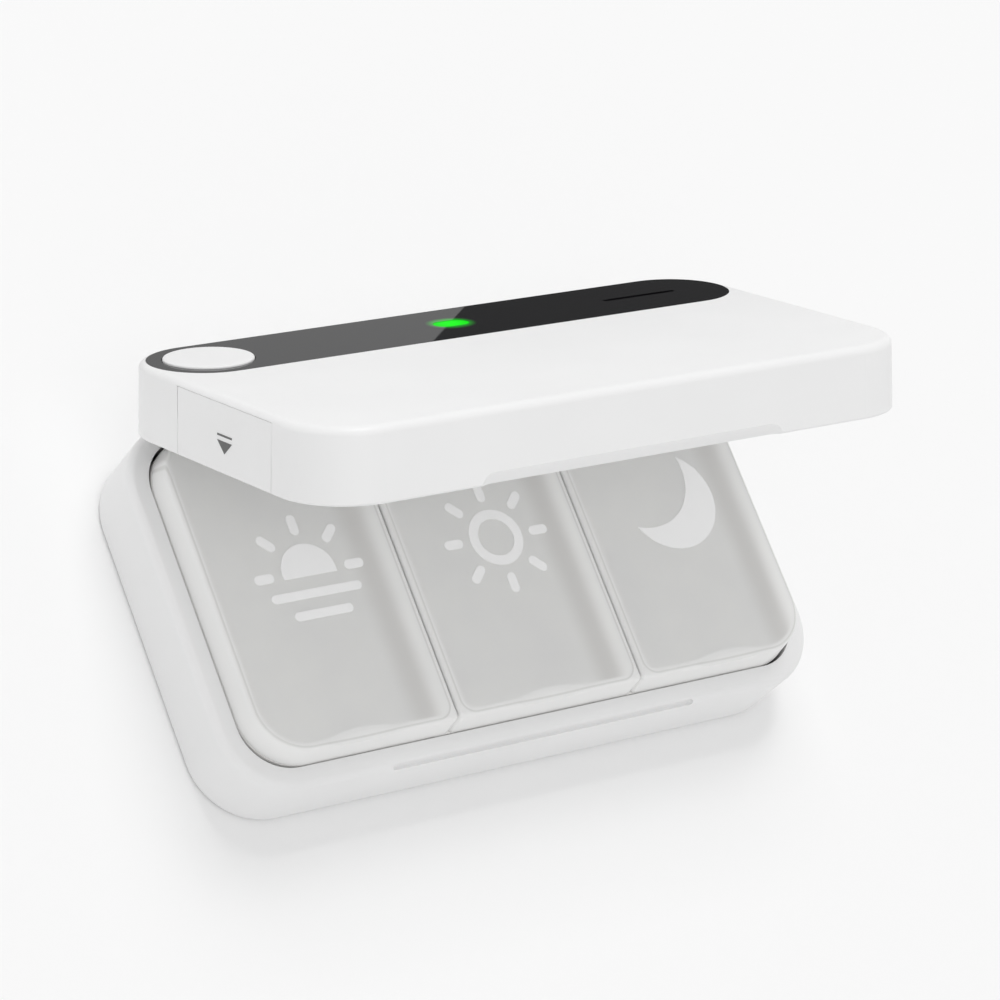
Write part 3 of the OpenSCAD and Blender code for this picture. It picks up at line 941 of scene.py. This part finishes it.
@dataclass
class Flaps(Compartments):
    """Three frosted caps that turn on the rod at their rear edge. Lengths are in millimetres."""

    end_gap: float = 0.1
    seam_gap: float = 0.03
    front: float = -28.58
    rear: float = 28.6
    low: float = 13.68
    top: float = 18.8
    wall: float = 1.1
    lean: float = 0.5
    seam_lean: float = 0.1
    outer_corner: float = 8.95
    seam_corner: float = 0.95
    plate_corner: float = 3.5
    fillet: float = 0.7
    hollow_corner_less: float = 0.35
    hollow_fillet: float = 0.3
    hollow_short: float = 0.4
    slope_from: float = 25.2
    barrel: float = 1.65
    barrel_in: float = 6.3
    barrel_gap: float = 0.02
    bore: float = 0.65
    lug_room: float = 4.5
    room_front: float = 2.3
    room_rear: float = 4.0
    room_over: float = 1.95
    thumb_length: float = 17.0
    thumb_in: float = 1.7
    thumb_drop: float = 0.65
    thumb_faces: tuple[int, int] = (160, 96)
    # Pad-printed ink: matt and opaque, the whitest thing on the frosted cap.
    ink: Moulded = Moulded(
        "white_pad_print", "#ffffff", "#fdfdfd", roughness=0.5, grain_mm=0.2, grain_depth_mm=0.004
    )

    @property
    def thumb_out(self) -> float:
        """How far in front of a flap's upper edge the centre of its thumb scoop lies."""
        return ((self.thumb_length / 2) ** 2 - self.thumb_in**2) / (2 * self.thumb_in)

    def ends(self, side: Side) -> Pair:
        """Left and right end of one flap.

        Args:
            side: which compartment it covers.

        Returns:
            Both places along X.
        """
        left_gap, right_gap = self.by_end(side, self.end_gap, self.seam_gap)
        left = (side.value - 1.5) * self.pitch + left_gap
        right = (side.value - 0.5) * self.pitch - right_gap
        return left, right

    def cap(
        self, name: str, side: Side, inset: float, top: float, rear: float, low: float
    ) -> Piece:
        """Adds one closed cap with rounded corners, leaning walls and a soft upper edge.

        Args:
            name: the object's name.
            side: which compartment it covers.
            inset: how far it is drawn in all round, 0 for the outer form.
            top: its height.
            rear: its rear face.
            low: its lower face.

        Returns:
            The cap.
        """
        left, right = (end + inset * sign for end, sign in zip(self.ends(side), (1, -1)))
        made = block(name, (left, self.front + inset, low), (right, rear, top))
        for x, corner, faces in zip(
            (left, right),
            self.by_end(side, self.outer_corner, self.seam_corner),
            self.by_end(side, Rounding.CORNER, Rounding.FILLET),
        ):
            round_edges(
                made, lambda a, b, x=x: upright(a, b) and near(a.x, x),
                corner - min(inset, self.hollow_corner_less), faces,
            )
        ends_lean = self.by_end(side, self.lean, self.seam_lean)
        lean_in(made, top, (*ends_lean, self.lean, self.lean))
        round_edges(
            made, lambda a, b: near(a.z, top) and near(b.z, top),
            self.fillet if inset == 0 else self.hollow_fillet, Rounding.FILLET,
        )
        return made

    def model(self, side: Side) -> Piece:
        """Models one flap, hollow below, sloping at the rear to a barrel round the rod.

        Args:
            side: which compartment it covers.

        Returns:
            The flap.
        """
        made = self.cap(
            f"{side.name.lower()}_flap_cap", side, 0, self.top, self.rear, self.low
        )
        combine(made, self.cap(
            "hollow", side, self.wall, self.top - self.wall, self.slope_from - self.hollow_short,
            self.low - OVER_MM,
        ))
        run, drop = self.rod_y - self.slope_from, self.top - self.rod_z
        tangent = math.atan2(drop, -run) - math.acos(self.barrel / math.hypot(run, drop))
        slope = (0, math.cos(tangent), math.sin(tangent))
        cut_plane(made, (0, self.slope_from, self.top), slope)
        cut_plane(made, (0, self.rod_y, 0), (0, 1, 0))

        left, right = self.ends(side)
        left_in, right_in = self.by_end(side, self.barrel_in, self.barrel_gap)
        barrel = rod(
            "barrel", left + left_in, right - right_in, self.rod_y, self.rod_z, self.barrel
        )
        combine(made, barrel, Combining.JOIN)
        for x in self.lugs(side):
            combine(made, block(
                "lug_room",
                (x - self.lug_room / 2, self.rod_y - self.room_front, self.low - OVER_MM),
                (x + self.lug_room / 2, self.rod_y + self.room_rear, self.rod_z + self.room_over),
            ))
        combine(
            made, rod("bore", left - OVER_MM, right + OVER_MM, self.rod_y, self.rod_z, self.bore)
        )
        combine(made, self.thumb_ball(side))
        polish(made)
        return made

    def scoop(self, side: Side) -> Point:
        """The round edge of a flap's thumb scoop, seen from above.

        Args:
            side: which compartment the flap covers.

        Returns:
            Where its centre lies along X and Y, and its radius.
        """
        return (
            self.middle(side), self.front + self.lean - self.thumb_out,
            self.thumb_out + self.thumb_in,
        )

    def thumb_ball(self, side: Side) -> Piece:
        """Adds the large ball that cuts the shallow thumb scoop in the front edge.

        Args:
            side: which compartment the flap covers.

        Returns:
            The ball.
        """
        half, out = self.thumb_length / 2, self.thumb_out
        up = (half**2 - self.thumb_drop**2) / (2 * self.thumb_drop)
        x, y, _ = self.scoop(side)
        segments, rings = self.thumb_faces
        bpy.ops.object.select_all(action="DESELECT")
        bpy.ops.mesh.primitive_uv_sphere_add(
            segments=segments, ring_count=rings,
            radius=math.sqrt(out**2 + up**2 + half**2) * MM,
            location=(x * MM, y * MM, (self.top + up) * MM),
        )
        made = bpy.context.object
        bpy.ops.object.transform_apply(location=True, rotation=True, scale=True)
        return made

    def build(self) -> None:
        """Builds and dresses the three flaps and their marks."""
        for side in Side:
            flap = self.model(side)
            corners = self.by_end(side, self.outer_corner, self.plate_corner)
            # Polypropylene with an eroded face: light comes through, but the pills blur.
            frosted = FrostedCap(
                f"frosted_cap_{side.name.lower()}", *self.ends(side), self.front, self.top,
                corners, self.scoop(side),
            )
            flap.data.materials.append(frosted.build())
            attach(flap, f"{side.name.lower()}_flap")
            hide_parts(f"flap_{side.name.lower()}")
            log.info("built %s: %d faces", flap.name, len(flap.data.polygons))
        dress(["sunrise_mark", "sun_mark", "moon_mark"], self.ink)


@dataclass
class Tray(Compartments):
    """Lift-out tray with three compartments and six lugs for the rod. Lengths in millimetres."""

    length: float = 106.6
    width: float = 57.3
    corner: float = 9.0
    low: float = 1.4
    top: float = 13.6
    wall: float = 1.2
    ledge: float = 4.25
    edge: float = 0.15
    cell_corner: float = 3.0
    cell_over: float = 3.0
    floor_round: float = 2.2
    lug_radius: float = 1.5
    lug_length: float = 4.0
    lug_root: float = 0.5
    bore: float = 0.6
    # Natural polypropylene: milky, a little warm, and waxy rather than glossy.
    finish: Moulded = Moulded(
        "milky_polypropylene", "#efeeec", "#ebeae8", roughness=0.38, grain_mm=0.4,
        grain_depth_mm=0.006,
    )

    def cell(self, side: Side) -> Piece:
        """Adds the space of one compartment, with a rounded floor.

        Args:
            side: which compartment.

        Returns:
            The cutter.
        """
        half = self.pitch / 2 - self.wall / 2
        centre = self.middle(side)
        end = self.length / 2 - self.wall
        left, right = max(centre - half, -end), min(centre + half, end)
        front, rear = self.wall - self.width / 2, self.width / 2 - self.ledge
        floor = self.low + self.wall
        made = block("cell", (left, front, floor), (right, rear, self.top + self.cell_over))
        for x, corner, faces in zip(
            (left, right),
            self.by_end(side, self.corner - self.wall, self.cell_corner),
            self.by_end(side, Rounding.CORNER, Rounding.CELL),
        ):
            round_edges(made, lambda a, b, x=x: upright(a, b) and near(a.x, x), corner, faces)
        round_edges(
            made, lambda a, b: near(a.z, floor) and near(b.z, floor), self.floor_round,
            Rounding.FLOOR,
        )
        return made

    def build(self) -> None:
        """Builds and dresses the tray."""
        made = block(
            "compartment_tray", (-self.length / 2, -self.width / 2, self.low),
            (self.length / 2, self.width / 2, self.top),
        )
        round_edges(made, upright, self.corner, Rounding.CORNER)
        round_edges(made, lambda a, b: near(a.z, b.z), self.edge, Rounding.EDGE)
        for side in Side:
            combine(made, self.cell(side))
            for x in self.lugs(side):
                start, end = x - self.lug_length / 2, x + self.lug_length / 2
                foot = block(
                    "lug_foot", (start, self.rod_y - self.lug_radius, self.top - self.lug_root),
                    (end, self.rod_y + self.lug_radius, self.rod_z),
                )
                combine(made, foot, Combining.JOIN)
                lug = rod("lug", start, end, self.rod_y, self.rod_z, self.lug_radius)
                combine(made, lug, Combining.JOIN)
        half = self.length / 2
        combine(made, rod("bore", -half, half, self.rod_y, self.rod_z, self.bore))
        polish(made)
        made.data.materials.append(self.finish.build())
        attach(made, "base")
        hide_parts("pill_tray")
        log.info("built %s: %d faces", made.name, len(made.data.polygons))


@dataclass
class Shells:
    """White outer shells, the button and the sliding cover."""

    # ABS from a finely eroded tool: even white, with a soft sheen and almost no grain.
    white: Moulded = Moulded(
        "white_abs", "#eeeeee", "#ececec", roughness=0.4, grain_mm=0.3, grain_depth_mm=0.0015
    )
    # The same ABS from a finer tool: the button looks a little smoother and lighter.
    button_white: Moulded = Moulded(
        "white_abs_button", "#efefef", "#ededed", roughness=0.4, grain_mm=0.3,
        grain_depth_mm=0.0008,
    )
    # Pad-printed ink: a matt film, dark grey more than black.
    arrow_ink: Moulded = Moulded(
        "grey_pad_print", "#5f5f5f", "#5a5a5a", roughness=0.5, grain_mm=0.2, grain_depth_mm=0.003
    )

    def build(self) -> None:
        """Dresses the shells."""
        dress(["base_shell", "lid_cover", "inner_plate", "battery_cover"], self.white)
        dress(["button_cap"], self.button_white)
        dress(["slide_mark"], self.arrow_ink)


@dataclass
class Reminder:
    """The gloss strip with its lit lens, and the electronics behind it. Lengths in millimetres."""

    lid_open_deg: float = 51.6
    lens_length: float = 6.2
    lens_width: float = 4.0
    lens_up: float = 1.5
    halo_in: float = 0.8
    # Glass-filled nylon and epoxy: nearly black, with a dull moulded grain.
    black: Moulded = Moulded("black_moulding", "#2a2a2b", "#262627", 0.45, grain_mm=0.25)
    # Closed-cell foam: matt, with pores that can be seen.
    foam: Moulded = Moulded(
        "black_foam", "#202020", "#1a1a1a", 0.8, grain_mm=0.5, grain_depth_mm=0.05
    )
    # Fired ceramic of chip capacitors: tan and slightly speckled.
    ceramic: Moulded = Moulded("fired_ceramic", "#b9a184", "#a8906f", 0.4)
    # Drawn steel: fine scratches along the rods.
    steel: Brushed = Brushed("drawn_steel", "#b9bbbe")
    # Nickel-plated cell can: brighter, scratched the other way by the pocket it slides in.
    can: Brushed = Brushed("nickel_cell_can", "#c6c7c8", 0.26, (1.0, 0.05, 1.0))
    # Plated phosphor bronze: warm and springy, scratched by stamping.
    spring: Brushed = Brushed("plated_bronze", "#c8a765", 0.3, (1.0, 0.05, 1.0))

    def centre(self, node: str) -> Point:
        """Middle of a node's box, in metres."""
        low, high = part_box(node)
        return tuple((low + high) / 2)

    def build(self) -> None:
        """Dresses the strip, the lens and what sits behind them."""
        lens = Vector(self.centre("led_lens"))
        lean = math.radians(self.lid_open_deg)
        outward = Vector((0, math.sin(lean), math.cos(lean)))
        top = tuple(lens + outward * self.lens_up * MM)
        half = (self.lens_length - self.lens_width) / 2 - self.halo_in
        # Polished black acrylic: mirrors the cards, and lets a little green light through.
        dress(["strip_window"], GlossStrip("piano_black_acrylic", top, half, self.lens_width / 2))
        # Clear polycarbonate with the lamp behind it: glows, and hardly mirrors anything.
        dress(["led_lens"], LitLens("lit_light_guide", top))
        # Epoxy board under green mask: glossy, with the copper as lighter lines.
        dress(["circuit_board"], SolderMask("green_solder_mask"))
        dress(["control_chip", "battery_holder", "speaker"], self.black)
        dress(["speaker_ring"], self.foam)
        dress(["board_parts", "status_led"], self.ceramic)
        dress(["hinge_pin", "flap_rod", "plate_screws", "tact_switch"], self.steel)
        dress(["coin_cell"], self.can)
        dress(["contact_plus", "contact_minus"], self.spring)


# ---------------------------------------------------------------- floor, light and camera


@dataclass(frozen=True)
class Card:
    """A card behind the object that only glossy surfaces see. Lengths are in millimetres.

    Its corners go from left to right, the near ones first.
    """

    name: str
    corners: tuple[Pair, Pair, Pair, Pair]
    height: float
    colour: str

    def build(self) -> None:
        """Lays the card on the floor."""
        bpy.ops.object.select_all(action="DESELECT")
        bpy.ops.mesh.primitive_plane_add(size=1)
        made = bpy.context.object
        made.name = self.name
        for vertex, (x, y) in zip(made.data.vertices, self.corners):
            vertex.co = (x * MM, y * MM, self.height * MM)
        made.data.materials.append(EvenCard(self.name, self.colour).build())
        made.visible_camera = made.visible_diffuse = made.visible_shadow = False
        made.visible_transmission = made.visible_volume_scatter = False


@dataclass(frozen=True)
class Lamp:
    """A large square lamp that faces the object. Lengths are in metres."""

    name: str
    place: Point
    size: float
    watts: float
    aim: Point = (0, 0, 0.02)

    def build(self) -> None:
        """Hangs the lamp."""
        data = bpy.data.lights.new(self.name, "AREA")
        data.shape, data.size, data.energy = "SQUARE", self.size, self.watts
        made = bpy.data.objects.new(self.name, data)
        bpy.context.scene.collection.objects.link(made)
        made.location = self.place
        towards = Vector(self.aim) - Vector(self.place)
        made.rotation_mode = "QUATERNION"
        made.rotation_quaternion = towards.to_track_quat("-Z", "Y")


@dataclass
class Studio:
    """Plain pale floor, soft light and the photograph's camera."""

    pale: str = "#f7f7f7"
    floor_size: float = 6.0
    floor_drop_mm: float = 0.2
    sky: float = 0.69
    lamps: tuple[Lamp, ...] = (
        Lamp("key", (0.2, 1.6, 2.6), 1.0, 28.5),
        Lamp("front", (-1.2, -1.8, 0.8), 1.5, 2.0),
        Lamp("front_top", (-0.4, -1.1, 2.2), 1.5, 6.8),
    )
    cards: tuple[Card, ...] = (
        Card("grey_card", ((-80, 55), (140, 55), (-80, 88), (140, 88)), 0.5, "#acacac"),
        Card("dark_card", ((37.0, 55), (140, 55), (24.8, 88), (140, 88)), 0.8, "#4a4a4a"),
    )
    lens_mm: float = 131.65
    sensor_mm: float = 36
    clip: Pair = (0.01, 20)
    eye_mm: Point = (-315.2, -170.4, 494.7)
    right: Point = (0.83324, -0.34819, 0.42951)
    up: Point = (0.14922, 0.88960, 0.43169)
    forward: Point = (0.53241, 0.29561, -0.79320)

    def floor(self) -> None:
        """Makes the floor, which takes the object's shadow."""
        bpy.ops.object.select_all(action="DESELECT")
        bpy.ops.mesh.primitive_plane_add(
            size=self.floor_size, location=(0, 0, -self.floor_drop_mm * MM)
        )
        made = bpy.context.object
        made.name = "studio_floor"
        made.data.materials.append(PaleFloor("studio_floor", self.pale).build())

    def world(self) -> None:
        """Lights the scene evenly, and shows the floor's tone where the sky itself is seen."""
        world = bpy.data.worlds.new("studio")
        bpy.context.scene.world = world
        world.use_nodes = True
        tree = world.node_tree
        tree.nodes.clear()
        rays = add_node(tree, "ShaderNodeLightPath").outputs
        seen = rays["Is Camera Ray"]
        for kind in ("Is Glossy Ray", "Is Transmission Ray"):
            seen = add_node(
                tree, "ShaderNodeMath", {0: seen, 1: rays[kind]}, operation="MAXIMUM"
            ).outputs[0]
        soft = add_node(
            tree, "ShaderNodeBackground", {"Color": (1, 1, 1, 1), "Strength": self.sky}
        )
        shown = add_node(
            tree, "ShaderNodeBackground", {"Color": srgb(self.pale), "Strength": 1.0}
        )
        mixed = add_node(
            tree, "ShaderNodeMixShader", {0: seen, 1: soft.outputs[0], 2: shown.outputs[0]}
        )
        add_node(tree, "ShaderNodeOutputWorld", {"Surface": mixed.outputs[0]})

    def camera(self) -> None:
        """Stands the camera where the photograph was taken from."""
        data = bpy.data.cameras.new("photo_camera")
        data.lens, data.sensor_width = self.lens_mm, self.sensor_mm
        data.clip_start, data.clip_end = self.clip
        made = bpy.data.objects.new("photo_camera", data)
        bpy.context.scene.collection.objects.link(made)
        back = -Vector(self.forward)
        turn = Matrix((self.right, self.up, back)).transposed().to_4x4()
        made.matrix_world = Matrix.Translation(Vector(self.eye_mm) * MM) @ turn
        bpy.context.scene.camera = made

    def build(self) -> None:
        """Builds the studio."""
        self.floor()
        self.world()
        for thing in (*self.lamps, *self.cards):
            thing.build()
        self.camera()
        bpy.context.scene.view_settings.view_transform = "Standard"


def main() -> None:
    """Builds the studio, then each sub-assembly in order."""
    logging.basicConfig(level=logging.INFO, format="%(message)s")
    for part in (Studio(), Shells(), Reminder(), Tray(), Flaps()):
        part.build()
        log.info("done: %s", type(part).__name__)


if __name__ == "__main__":
    main()
